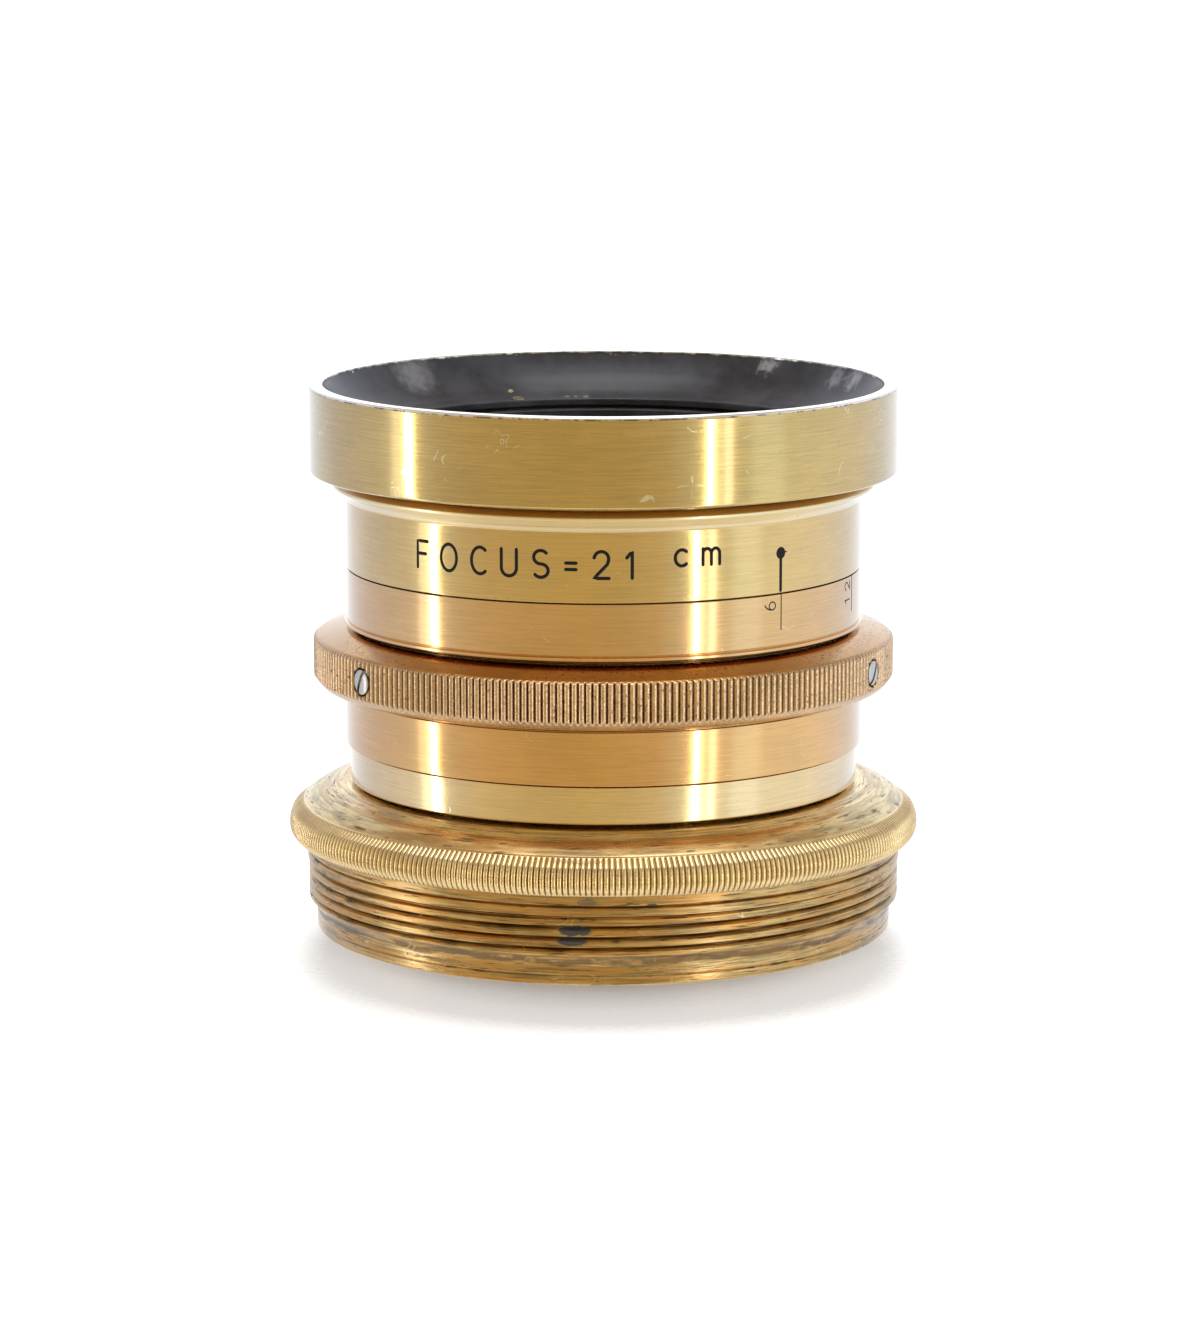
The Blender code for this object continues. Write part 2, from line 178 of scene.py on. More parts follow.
class Graph:
    # A node tree that is filled by expressions, for a material or for the room.
    def __init__(self, tree):
        self.tree = tree

    def node(self, kind, settings=None, inputs=None, output=0):
        made = self.tree.nodes.new(kind)
        for name, value in (settings or {}).items():
            if name == "stops":
                self.fillRamp(made.color_ramp, value)
            else:
                setattr(made, name, value)
        for key, value in (inputs or {}).items():
            socket = made.inputs[key]
            if isinstance(value, Wire):
                self.tree.links.new(value.socket, socket)
            else:
                socket.default_value = value
        return Wire(self, made.outputs[output])

    def fillRamp(self, ramp, stops):
        while len(ramp.elements) < len(stops):
            ramp.elements.new(1.0)
        for element, (position, colour) in zip(ramp.elements, stops):
            element.position = position
            element.color = (*colour, 1.0)

    def split(self, where):
        return [self.node("ShaderNodeSeparateXYZ", None, {0: where}, axis) for axis in "XYZ"]

    def math(self, operation, *values):
        return self.node("ShaderNodeMath", {"operation": operation}, dict(enumerate(values)))

    def step(self, value, low, high):
        # A smooth rise from 0 at low to 1 at high.
        return self.node("ShaderNodeMapRange", {"interpolation_type": "SMOOTHSTEP"}, {
            "Value": value, "From Min": low, "From Max": high, "To Min": 0.0, "To Max": 1.0})

    def band(self, value, centre, half, soft):
        # 1 near a value, 0 away from it.
        return 1.0 - self.step(self.math("ABSOLUTE", value - centre), half, half + soft)

    def mix(self, factor, first, second):
        colours = [value if isinstance(value, Wire) else (*value, 1.0) for value in (first, second)]
        return self.node("ShaderNodeMix", {"data_type": "RGBA"},
                         {0: factor, 6: colours[0], 7: colours[1]}, 2)


class Finish(Graph):
    # One material, with the patterns that many finishes share.
    def __init__(self, name, **fixed):
        self.material = bpy.data.materials.new(name)
        self.material.use_nodes = True
        super().__init__(self.material.node_tree)
        self.shader = self.tree.nodes["Principled BSDF"]
        self.feed(**fixed)
        self.here = self.node("ShaderNodeTexCoord", output="Object")
        self.x, self.y, self.z = self.split(self.here)
        self.radius = self.math("SQRT", self.x * self.x + self.y * self.y)
        self.angle = self.math("ARCTAN2", self.y, self.x)

    def feed(self, **sockets):
        for name, value in sockets.items():
            target = self.shader.inputs[name.replace("_", " ")]
            if isinstance(value, Wire):
                self.tree.links.new(value.socket, target)
            else:
                target.default_value = value
        return self.material

    def noise(self, where, scale, detail=3.0, roughness=0.55):
        return self.node("ShaderNodeTexNoise", None, {
            "Vector": where, "Scale": scale, "Detail": detail, "Roughness": roughness})

    def brushing(self, around=330.0, across=15000.0):
        # Lathe lines: noise that hardly changes round the axis and changes fast along
        # the turned profile, on walls and on faces alike.
        where = self.node("ShaderNodeCombineXYZ", None, {
            0: self.x * around, 1: self.y * around, 2: (self.z + self.radius) * across})
        return self.noise(where, 1.0, 2.0, 0.7)

    def dashes(self, low, high, around=900.0, across=13000.0):
        # Short dark nicks that lie along the turning.
        return self.step(self.brushing(around, across), low, high)

    def nicks(self, scale=800.0, width=0.008, patch=430.0, rarity=0.64):
        # Short curved scratches: the contour lines of a soft noise, kept in a few patches.
        lines = self.noise(self.here, scale, 0.0, 0.5)
        kept = self.step(self.noise(self.here, patch, 1.0), rarity, rarity + 0.03)
        return self.band(lines, 0.5, width, width) * kept

    def spot(self, x, y, z, size, flat=1.0, ragged=0.0012, core=0.7):
        # 1 inside a ragged spot round a point in millimetres, squeezed in height by flat.
        # It fades from a share of its size (core) to its edge.
        east, north, up = self.x - x * mm, self.y - y * mm, (self.z - z * mm) * flat
        away = self.math("SQRT", east * east + north * north + up * up)
        away = away + (self.noise(self.here, 1300.0, 3.0) - 0.5) * ragged
        return 1.0 - self.step(away, size * core * mm, size * mm)

    def grooves(self, teeth, low, high):
        # 1 at the bottom of each knurl groove between two heights.
        wave = self.math("ABSOLUTE", self.math("SINE", self.angle * (teeth / 2)))
        span = self.step(self.z, low * mm, (low + 0.1) * mm)
        span = span * (1.0 - self.step(self.z, (high - 0.1) * mm, high * mm))
        return (1.0 - self.step(wave, 0.15, 0.62)) * span

    def bump(self, height, strength, distance):
        return self.node("ShaderNodeBump", None, {
            "Strength": strength, "Distance": distance, "Height": height})


def shade(colour, amount):
    return tuple(min(part * amount, 1.0) for part in colour)


lacquer = {"Coat_Weight": 1.0, "Coat_Roughness": 0.06, "Coat_IOR": 2.0, "Anisotropic": 0.8,
           "Anisotropic_Rotation": 0.25}


def brassFinish(name, colour, rough=0.17, stain=0.2, stainColour=(0.20, 0.10, 0.03), cove=None):
    # Lacquered brass: lathe lines, brown specks, cloudy tone and a few bare nicks. Above a
    # height (cove) the metal is rougher and painted pale, a painted reflection of the bright
    # floor, and the ledge over it is painted brown, painted shade under the hood.
    finish = Finish(name, Metallic=1.0, IOR=1.5, **lacquer)
    cloud = finish.noise(finish.here, 130.0, 4.0, 0.6)
    brushed = finish.brushing()
    coarse = finish.brushing(around=150.0, across=6500.0)
    tone = finish.step(cloud * 0.35 + coarse * 0.3 + brushed * 0.35, 0.38, 0.62)
    colour = finish.mix(tone, shade(colour, 0.88), shade(colour, 1.08))
    # Painted reflection and shade: the cove is painted pale for the floor it mirrors, and the ledge above it
    # brown for the shade under the hood.
    if cove:
        pale = finish.step(finish.z, cove * mm, (cove + 0.12) * mm)
        colour = finish.mix(pale, colour, (1.0, 0.85, 0.49))
        paintedLedgeShade = finish.step(finish.z, (cove + 1.26) * mm, (cove + 1.34) * mm)
        colour = finish.mix(paintedLedgeShade, colour, (0.72, 0.40, 0.11))
    speck = finish.step(finish.noise(finish.here, 2100.0, 2.0, 0.7), 0.66, 0.76)
    worn = finish.math("MAXIMUM", speck * finish.step(cloud, 0.46, 0.62), finish.dashes(0.68, 0.75) * 0.7)
    colour = finish.mix(worn * stain, colour, stainColour)
    marks = finish.nicks(620.0, 0.006, rarity=0.66)
    colour = finish.mix(marks * 0.45, colour, (0.95, 0.84, 0.60))
    roughness = rough + (brushed - 0.5) * 0.08 + worn * 0.15 + (cloud - 0.5) * 0.05
    if cove:
        roughness = roughness + pale * 0.3
    height = brushed * 0.7 + coarse * 0.2 - marks * 0.5 - worn * 0.4
    return finish.feed(Base_Color=colour, Roughness=roughness,
                       Normal=finish.bump(height, 0.18, 0.00002))


def hoodFinish(colour, rimRadius, rimHeight, throat, chips, paintedSheen):
    # Lacquered brass outside, a bare rim whitened as a painted reflection of the bright
    # backdrop, blue-black paint inside, chipped along its edges, and painted sheen: a few soft
    # grey patches that stand in for reflections on the paint.
    finish = Finish("hood brass and black paint", IOR=1.5, **lacquer)
    cloud = finish.noise(finish.here, 120.0, 4.0, 0.6)
    brushed = finish.brushing()
    coarse = finish.brushing(around=150.0, across=6500.0)
    tone = finish.step(cloud * 0.3 + coarse * 0.3 + brushed * 0.4, 0.38, 0.62)
    brass = finish.mix(tone, shade(colour, 0.84), shade(colour, 1.12))
    stain = finish.step(finish.noise(finish.here, 1500.0, 3.0, 0.7), 0.64, 0.76)
    stain = finish.math("MAXIMUM", stain, finish.dashes(0.66, 0.73))
    brass = finish.mix(stain * 0.4, brass, (0.20, 0.11, 0.04))
    marks = finish.nicks(620.0, 0.006, rarity=0.63) + finish.nicks(1400.0, 0.010, 300.0, 0.66)
    brass = finish.mix(marks * 0.6, brass, (1.0, 0.95, 0.80))
    wander = (finish.noise(finish.here, 900.0, 3.0) - 0.5) * 0.00015
    # The rim top is bare metal, and its colour is whitened as a painted reflection of the bright backdrop.
    bare = finish.step(finish.z + wander, (rimHeight - 0.24) * mm, (rimHeight - 0.16) * mm)
    brass = finish.mix(bare * 0.95, brass, (1.0, 0.97, 0.90))
    worn = finish.noise(finish.here, 1250.0, 3.0, 0.6)
    nick = finish.band(finish.z, (rimHeight - 0.22) * mm, 0.03 * mm, 0.06 * mm)
    nick = nick * finish.step(worn, 0.48, 0.60)
    brass = finish.mix(nick * 0.95, brass, (0.10, 0.05, 0.02))
    inside = 1.0 - finish.step(finish.radius + wander, (rimRadius - 0.05) * mm, (rimRadius + 0.02) * mm)
    neck = 1.0 - finish.step(finish.radius, 20.6 * mm, 20.7 * mm)
    above = finish.step(finish.z, (throat - 0.9) * mm, (throat - 0.8) * mm)
    inside = inside * finish.math("MAXIMUM", above, neck)
    chip = finish.step(worn, 0.68, 0.70)
    chip = chip * finish.step(finish.z + wander * 4.0, (rimHeight - 0.5) * mm, (rimHeight - 0.25) * mm)
    for x, y, z, size in chips:
        chip = finish.math("MAXIMUM", chip, finish.spot(x, y, z, size, ragged=0.0004))
    paint = inside * (1.0 - chip)
    haze = finish.noise(finish.here, 210.0, 4.0, 0.65)
    black = finish.mix(finish.step(haze, 0.35, 0.7), (0.015, 0.0155, 0.020), (0.040, 0.041, 0.052))
    # Painted sheen: soft grey spots that stand in for reflections on the glossy black paint.
    for x, y, z, size, strength in paintedSheen:
        black = finish.mix(finish.spot(x, y, z, size, ragged=0.003, core=0.05) * strength, black,
                           (0.42, 0.42, 0.46))
    tan = finish.mix(worn, (0.38, 0.28, 0.16), (0.85, 0.72, 0.50))
    skin = finish.mix(chip * inside, finish.mix(inside, brass, black), tan)
    roughness = (0.17 + (brushed - 0.5) * 0.08 + stain * 0.18) * (1.0 - paint)
    roughness = roughness + paint * (0.22 + haze * 0.16)
    height = brushed * 0.7 + coarse * 0.2 - marks * 0.6 - nick * 0.8 + paint * 1.2
    return finish.feed(Base_Color=skin, Metallic=1.0 - paint, Roughness=roughness,
                       Coat_Weight=1.0 - inside, Normal=finish.bump(height, 0.18, 0.00002))


def agedFinish(name, colour, orange, rough=0.24, wear=1.0, blotches=(), teeth=None, root=None,
               tide=None):
    # Uncleaned brass: brown clouds and orange streaks along the turning, dark pits and dashes.
    # Knurl grooves (teeth: count, low, high) and thread roots below a radius (root) are darkened,
    # painted shade with some dirt, and dirt lies along a wavy line at a height (tide). The metal
    # above the tide line is duller.
    finish = Finish(name, IOR=1.5, Coat_Weight=0.35, Coat_Roughness=0.16, Coat_IOR=1.5)
    cloud = finish.noise(finish.here, 190.0, 5.0, 0.65)
    coarse = finish.brushing(around=150.0, across=4200.0)
    brushed = finish.brushing()
    tone = finish.step(cloud * 0.25 + coarse * 0.5 + brushed * 0.25, 0.42, 0.58)
    skin = finish.mix(tone, shade(colour, 1.0 - 0.42 * wear), shade(colour, 1.0 + 0.18 * wear))
    warm = finish.step(finish.brushing(around=110.0, across=2600.0), 0.47, 0.60)
    skin = finish.mix(warm * 0.7 * wear, skin, orange)
    pit = finish.step(finish.noise(finish.here, 2900.0, 3.0, 0.7), 0.62, 0.70)
    dark = pit * finish.step(finish.noise(finish.here, 420.0, 3.0), 0.50, 0.62) * 0.6
    dark = finish.math("MAXIMUM", dark, finish.dashes(0.58, 0.66, 330.0, 6500.0) * 0.75 * wear)
    # Painted shade with some dirt in the knurl grooves and the thread roots.
    if teeth:
        dark = finish.math("MAXIMUM", dark, finish.grooves(*teeth) * 0.62)
    if root:
        low = 1.0 - finish.step(finish.radius, root * mm, (root + 0.17) * mm)
        dark = finish.math("MAXIMUM", dark, low * finish.step(finish.z, 2.7 * mm, 2.9 * mm) * 0.8)
    if tide:
        wave = (finish.noise(finish.here, 170.0, 3.0) - 0.5) * 0.0020
        line = finish.band(finish.z + wave, tide * mm, 0.16 * mm, 0.30 * mm)
        dark = finish.math("MAXIMUM", dark, line * finish.step(cloud, 0.36, 0.5) * 0.7)
    skin = finish.mix(dark, skin, (0.080, 0.048, 0.024))
    roughness = rough + dark * 0.2 + (cloud - 0.5) * 0.12 + (brushed - 0.5) * 0.06
    if tide:
        roughness = roughness + finish.step(finish.z, tide * mm, (tide + 0.6) * mm) * 0.10
    grime = 0.0
    for x, y, z, size, strength in blotches:
        spot = finish.spot(x, y, z, size, flat=3.2, ragged=0.0016)
        grime = finish.math("MAXIMUM", grime, spot * strength)
    if blotches:
        grime = grime * (0.45 + brushed * 0.8 + coarse * 0.4)
        skin = finish.mix(grime, skin, (0.056, 0.052, 0.050))
        roughness = roughness + grime * 0.2
    skin = finish.mix(finish.nicks(900.0) * 0.6, skin, (0.85, 0.70, 0.44))
    return finish.feed(Base_Color=skin, Metallic=1.0 - grime * 0.8, Roughness=roughness,
                       Normal=finish.bump(brushed * 0.6 + coarse * 0.4 - dark * 0.8, 0.30, 0.00003))


def knurlFinish(name, colour, shadedConeColour, teeth, low, high, shadedSeats, seatSize):
    # Bare knurled brass: painted glints, brown roots darkened by painted shade and some dirt,
    # with dark specks of dirt, a cone above them painted browner as painted shade under the
    # sleeve's lip, and painted shade in each screw seat round the head.
    finish = Finish(name, IOR=1.5, Metallic=1.0, Coat_Weight=0.35, Coat_Roughness=0.2, Coat_IOR=1.5)
    cloud = finish.noise(finish.here, 210.0, 4.0, 0.6)
    brushed = finish.brushing()
    fine = finish.noise(finish.here, 5200.0, 2.0, 0.7)
    skin = finish.mix(finish.step(cloud, 0.38, 0.62), shade(colour, 0.88), shade(colour, 1.10))
    # The cone above the knurl is painted browner: painted shade under the sleeve's lip.
    cone = finish.step(finish.z, (high - 0.1) * mm, (high + 0.05) * mm)
    clouded = finish.mix(finish.step(cloud, 0.4, 0.6), shade(shadedConeColour, 0.8), shadedConeColour)
    skin = finish.mix(cone, skin, clouded)
    # Painted glints: pale specks that stand in for highlights on the knurl teeth.
    glint = finish.step(fine, 0.52, 0.64) * (1.0 - cone)
    skin = finish.mix(glint * 0.6, skin, (1.0, 0.82, 0.58))
    # Painted shade with some dirt in the knurl roots.
    dirtAndShade = finish.grooves(teeth, low, high) * (0.45 + finish.step(fine, 0.35, 0.6) * 0.45)
    rare = finish.step(finish.noise(finish.here, 3300.0, 3.0, 0.7), 0.56, 0.66)
    rare = rare * finish.step(finish.z, low * mm, (low + 0.1) * mm) * finish.step(cloud, 0.36, 0.52)
    dirtAndShade = finish.math("MAXIMUM", dirtAndShade, rare * 0.8)
    # Painted shade in each screw seat round the head.
    for seat in shadedSeats:
        dirtAndShade = finish.math("MAXIMUM", dirtAndShade, finish.spot(*seat, seatSize, ragged=0.0) * 0.95)
    skin = finish.mix(dirtAndShade, skin, (0.100, 0.048, 0.020))
    roughness = 0.28 + dirtAndShade * 0.25 + (cloud - 0.5) * 0.08 - cone * 0.12
    return finish.feed(Base_Color=skin, Roughness=roughness,
                       Normal=finish.bump(brushed * 0.4 + fine * 0.6 - dirtAndShade, 0.3, 0.00003))


def paintFinish(name, dark, light, rough):
    # Matt black optical paint with a faint haze and a few bare specks.
    finish = Finish(name, IOR=1.5)
    haze = finish.noise(finish.here, 240.0, 4.0, 0.65)
    brushed = finish.brushing()
    speck = finish.step(finish.noise(finish.here, 1500.0, 2.0), 0.74, 0.78)
    colour = finish.mix(finish.step(haze, 0.35, 0.7), dark, light)
    colour = finish.mix(speck * 0.6, colour, (0.45, 0.33, 0.16))
    return finish.feed(Base_Color=colour, Metallic=speck * 0.8, Roughness=rough + haze * 0.12,
                       Normal=finish.bump(brushed, 0.3, 0.00002))


def steelFinish(name, rough=0.26):
    finish = Finish(name, Metallic=1.0)
    cloud = finish.noise(finish.here, 1400.0, 4.0, 0.65)
    fine = finish.noise(finish.here, 9000.0, 2.0, 0.6)
    colour = finish.mix(cloud, (0.50, 0.48, 0.45), (0.80, 0.79, 0.76))
    rust = finish.step(finish.noise(finish.here, 3100.0, 3.0), 0.60, 0.75)
    colour = finish.mix(rust * 0.5, colour, (0.14, 0.08, 0.04))
    return finish.feed(Base_Color=colour, Roughness=rough + cloud * 0.15 + rust * 0.2,
                       Normal=finish.bump(fine + cloud, 0.25, 0.00001))


def inkFinish(name, colour):
    # Black wax pressed into the engraving, with brass dust showing through in places.
    finish = Finish(name, IOR=1.5, Specular_IOR_Level=0.22)
    grain = finish.noise(finish.here, 5200.0, 3.0, 0.7)
    mixed = finish.mix(finish.step(grain, 0.64, 0.74) * 0.3, colour, (0.30, 0.20, 0.08))
    return finish.feed(Base_Color=mixed, Roughness=0.5 + grain * 0.2,
                       Normal=finish.bump(grain, 0.4, 0.00002))


def glassFinish(name, tint):
    finish = Finish(name, IOR=1.52, Transmission_Weight=1.0)
    dust = finish.noise(finish.here, 900.0, 4.0, 0.7)
    grey = finish.mix(finish.step(dust, 0.5, 0.8) * 0.12, tint, (0.80, 0.80, 0.80))
    return finish.feed(Base_Color=grey, Roughness=finish.step(dust, 0.62, 0.85) * 0.06)


print("finishes ready")

teeth = {"grip": 262, "adapter": 352, "samples": 6}
# cone is the colour of the knurled ring's cone, darkened as painted shade under the sleeve's lip.
brass = {"hood": (0.64, 0.44, 0.112), "barrel": (0.77, 0.525, 0.16), "scale": (0.78, 0.47, 0.16),
         "lower": (0.86, 0.48, 0.13), "rear": (0.93, 0.68, 0.31), "knurl": (0.71, 0.475, 0.265),
         "cone": (0.64, 0.32, 0.07), "aged": (0.59, 0.40, 0.16), "agedOrange": (0.66, 0.35, 0.09),
         "flange": (0.90, 0.68, 0.34), "flangeOrange": (0.62, 0.365, 0.11), "agedKnurl": (0.98, 0.72, 0.36)}
screws = {"level": 23.9, "first": -144.2, "count": 3, "head": 1.05, "seat": 1.19, "slotHalf": 0.16,
          "slotDepth": 0.42, "rise": 0.10, "tilts": (-24.0, -35.0, 8.0)}
screwAngles = [screws["first"] + 120.0 * k for k in range(screws["count"])]
gripRadius = reach("knurled_ring")
screwSpots = [(gripRadius * np.cos(radians(a)), gripRadius * np.sin(radians(a)), screws["level"])
              for a in screwAngles]

barrelBrass = brassFinish("satin barrel brass", brass["barrel"], stain=0.35, cove=37.95)
warmBrass = brassFinish("warm lacquered brass", brass["scale"])
orangeBrass = brassFinish("orange lacquered brass", brass["lower"])
paleBrass = brassFinish("pale bare brass", brass["rear"])
knurlBrass = knurlFinish("knurled brass", brass["knurl"], brass["cone"], teeth["grip"], 22.2, 25.75,
                         screwSpots, screws["seat"] * 1.25)
agedBrass = agedFinish("uncleaned brass", brass["aged"], brass["agedOrange"], 0.24, tide=2.1, root=25.6,
                       blotches=((-1.35, -26.1, 7.35, 1.15, 0.55), (-2.3, -25.9, 4.85, 1.6, 1.0),
                                 (-2.6, -25.8, 3.95, 1.4, 1.0), (4.2, -25.9, 7.0, 0.55, 0.8)))
flangeBrass = agedFinish("mottled flange brass", brass["flange"], brass["flangeOrange"], 0.26)
agedRim = agedFinish("uncleaned knurled brass", brass["agedKnurl"], (0.80, 0.50, 0.18), 0.20, 0.4,
                     teeth=(teeth["adapter"], 7.95, 11.2))
blackPaint = paintFinish("matt black optical paint", (0.012, 0.012, 0.015), (0.035, 0.035, 0.042), 0.42)
bladeBlack = paintFinish("blackened blade steel", (0.020, 0.020, 0.024), (0.060, 0.058, 0.058), 0.32)
screwSteel = steelFinish("dull screw steel")
letterInk = inkFinish("black engraving wax", (0.008, 0.007, 0.008))
scaleInk = inkFinish("thin scale wax", (0.030, 0.022, 0.014))
lensGlass = glassFinish("polished lens glass", (0.97, 0.985, 0.98))

# The hood: a wall with a bare rim whitened as a painted reflection, a painted funnel inside, and a plain neck
# below.
hoodSizes = {"wall": 1.2, "neck": 23.5, "throat": 19.6, "throatHeight": 44.0,
             "chips": ((-7.7, 18.67, 44.1, 0.50), (-8.5, 19.9, 44.6, 0.26), (-3.3, 20.0, 44.1, 0.26),
                       (-2.5, 20.1, 44.1, 0.2), (-1.6, 20.1, 44.1, 0.28), (10.1, 21.2, 45.1, 0.14)),
             # paintedSheen: soft grey spots painted on the black paint as its sheen: x, y, z, size, strength.
             "paintedSheen": ((-17.3, 16.5, 46.6, 3.2, 0.35), (15.2, 18.9, 47.2, 1.5, 0.6),
                        (22.4, 8.9, 47.0, 1.7, 0.55), (21.0, 11.8, 46.6, 1.6, 0.4))}
hoodLow, hoodTop = heights("hood_ring")
hoodRadius = reach("hood_ring")
rimInner = hoodRadius - hoodSizes["wall"]
hoodPaint = hoodFinish(brass["hood"], rimInner, hoodTop, hoodSizes["throatHeight"],
                       hoodSizes["chips"], hoodSizes["paintedSheen"])
hoodOutline = roundedOutline([
    (rimInner, hoodTop - 0.02, 0.10), (hoodRadius - 0.14, hoodTop - 0.02, 0.10),
    (hoodRadius, hoodTop - 0.3, 0.16), (hoodRadius, 40.3, 0.14), (hoodRadius - 0.22, 40.18, 0.08),
    (hoodSizes["neck"], 40.02, 0.1), (21.4, 40.02, 0.1), (21.4, hoodLow, 0.1),
    (20.4, hoodLow, 0.1), (20.4, 43.35, 0.05),
    (hoodSizes["throat"], 43.35, 0.1), (hoodSizes["throat"], hoodSizes["throatHeight"] - 0.05, 0.12),
    (21.1, hoodSizes["throatHeight"] + 0.30, 0.6), (22.9, hoodSizes["throatHeight"] + 1.45, 0.9),
    (23.9, hoodSizes["throatHeight"] + 2.7, 0.5), (rimInner - 0.05, hoodTop - 0.3, 0.2)])
hood = turnedPiece("hood_shell", finerOutline(hoodOutline, 0.8), hoodPaint, 288)
place(hood, "lens_body", "hood_brass", "hood_ring")

barrelSizes = {"neck": 22.9, "flange": 23.7, "band": 22.5, "step": 31.93, "tube": 20.85,
               "bore": 20.15, "stop": 16.5}
barrelLow, barrelTop = heights("main_barrel")
bandRadius = barrelSizes["band"]
stepHeight = barrelSizes["step"]
barrelOutline = roundedOutline([
    (21.7, barrelTop, 0.05), (barrelSizes["neck"], barrelTop - 0.02, 0.15),
    (barrelSizes["flange"], 39.2, 0.05), (barrelSizes["flange"] - 0.03, 38.98, 0.08), (22.85, 38.45, 0.6),
    (22.56, 37.99, 0.05), (bandRadius, 37.9, 0.05), (bandRadius, stepHeight, 0.06),
    (barrelSizes["tube"], stepHeight, 0.05), (barrelSizes["tube"], barrelLow, 0.15), (19.3, barrelLow, 0.1),
    (19.3, 16.9, 0.1), (barrelSizes["stop"], 16.9, 0.1), (barrelSizes["stop"], 18.0, 0.1),
    (barrelSizes["bore"], 18.0, 0.1), (barrelSizes["bore"], 35.9, 0.1), (21.7, 35.9, 0.1)])
barrel = turnedPiece("barrel_shell", finerOutline(barrelOutline, 0.8), barrelBrass, 256)
place(barrel, "lens_body", "barrel_brass", "main_barrel")
print("hood and barrel ready")

# The turning group: scale sleeve with a fine lip, knurled grip, lower sleeve and screws.
sleeveSizes = {"gap": 0.12, "lip": 22.72, "lipTop": 27.30, "lipLow": 27.02}
sleeveLow = heights("scale_sleeve")[0]
sleeveOutline = roundedOutline([
    (21.15, stepHeight - sleeveSizes["gap"], 0.05), (bandRadius, stepHeight - sleeveSizes["gap"], 0.08),
    (bandRadius, 27.46, 0.06), (22.36, 27.40, 0.03), (22.42, 27.33, 0.03),
    (sleeveSizes["lip"], sleeveSizes["lipTop"], 0.06), (sleeveSizes["lip"], sleeveSizes["lipLow"], 0.08),
    (22.2, 26.9, 0.08), (21.6, 26.85, 0.1), (21.6, sleeveLow, 0.1), (21.15, sleeveLow, 0.1)])
sleeve = turnedPiece("scale_sleeve_shell", finerOutline(sleeveOutline, 0.8), warmBrass, 256)
place(sleeve, "iris_ring", "warm_brass", "scale_sleeve")

grip = {"toothDepth": 0.27, "top": 25.55, "low": 22.45, "coneTop": 26.6, "seatDepth": 0.75}


def toothWave(angle, count):
    # 0 in the groove between two teeth and 1 on a rounded top: |sin(a n / 2)|^0.6.
    return np.abs(np.sin(angle * count / 2)) ** 0.6


def gripShape(radius, height, angle):
    # The knurl is cut to a wavy cylinder, so the grooves run out on the chamfers by themselves.
    cut = gripRadius - grip["toothDepth"] * (1 - toothWave(angle, teeth["grip"]))
    radius = np.where(radius > 24.9, np.minimum(radius, cut), radius)
    for screwAngle in screwAngles:
        across = (np.mod(angle - radians(screwAngle) + pi, 2 * pi) - pi) * gripRadius
        seat = (np.hypot(across, height - screws["level"]) < screws["seat"]) & (radius > 24.5)
        radius = np.where(seat, gripRadius - grip["seatDepth"], radius)
    return radius, height


gripOutline = roundedOutline([
    (21.9, grip["coneTop"] + 0.08, 0.05), (22.6, grip["coneTop"], 0.15), (25.02, 25.86, 0.15),
    (gripRadius, grip["top"], 0.1), (gripRadius, grip["low"], 0.1), (24.8, 21.62, 0.25), (22.9, 21.3, 0.2),
    (21.9, 21.3, 0.05)])
knurledGrip = turnedPiece("knurled_grip", finerOutline(gripOutline, 0.11, 21.9, 26.1), knurlBrass,
                          teeth["grip"] * teeth["samples"], gripShape, sharp=70.0)
place(knurledGrip, "iris_ring", "knurl_brass", "knurled_ring")

lowerRadius = reach("lower_sleeve")
lowerLow, lowerTop = heights("lower_sleeve")
lowerOutline = roundedOutline([(21.9, lowerTop, 0.05), (lowerRadius, lowerTop, 0.08),
                               (lowerRadius, lowerLow - 0.08, 0.06), (21.9, lowerLow - 0.08, 0.05)])
lower = turnedPiece("lower_sleeve_shell", finerOutline(lowerOutline, 0.8), orangeBrass, 256)
place(lower, "iris_ring", "warm_brass", "lower_sleeve")


